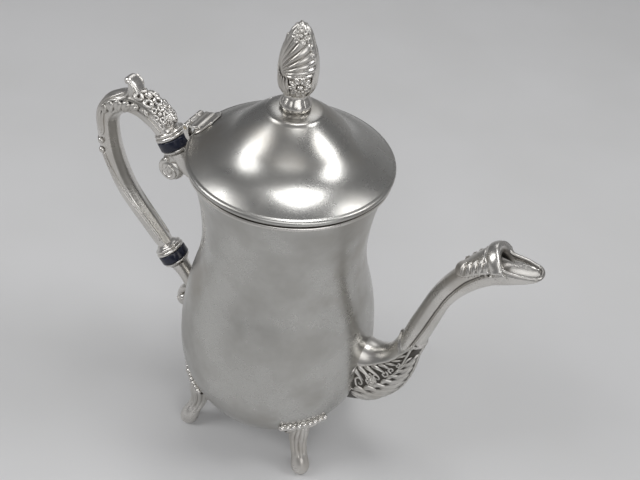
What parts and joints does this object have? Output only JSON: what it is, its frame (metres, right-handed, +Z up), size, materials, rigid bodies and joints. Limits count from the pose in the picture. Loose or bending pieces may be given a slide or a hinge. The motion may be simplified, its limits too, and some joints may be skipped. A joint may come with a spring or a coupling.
{
  "type": "coffee pot",
  "caption": "Pear-shaped silver-plated coffee pot on cast feet, with an S-curved spout, a scroll handle between dark insulating rings and a hinged bell-shaped lid with a bud finial.",
  "frame": {"origin": "on the table under the middle of the whole object's box", "axes": "+X from the handle to the spout, +Y across the pot, +Z up along the vessel's axis"},
  "size_m": [0.23, 0.1046, 0.2446],
  "materials": {
    "satin_silver": "satin silver plate with fine scratches",
    "cast_silver": "bright cast silver plate, dark in its recesses",
    "insulator": "glossy dark blue-black",
    "pin_metal": "plain metal of pins, washer and nut"
  },
  "bodies": {
    "pot": {"vessel": "satin_silver", "mouth_wire": "satin_silver", "foot_front_left": "cast_silver", "foot_front_right": "cast_silver", "foot_rear_left": "cast_silver", "foot_rear_right": "cast_silver", "spout": "cast_silver", "upper_handle_socket": "cast_silver", "upper_insulator": "insulator", "handle": "cast_silver", "lower_insulator": "insulator", "lower_handle_socket": "cast_silver", "upper_socket_pin": "pin_metal", "upper_handle_pin": "pin_metal", "lower_handle_pin": "pin_metal", "lower_socket_pin": "pin_metal", "hinge_bracket": "cast_silver", "hinge_pin": "pin_metal"},
    "lid": {"lid": "satin_silver", "lid_bezel": "satin_silver", "hinge_leaf": "cast_silver", "finial": "cast_silver", "finial_washer": "pin_metal", "finial_nut": "pin_metal"}
  },
  "joints": [
    {"name": "lid_hinge", "type": "hinge", "parent": "pot", "child": "lid", "pos_m": [-0.05895, 0, 0.1798], "axis": [0, -1, 0], "range_deg": [0, 95]}
  ]
}
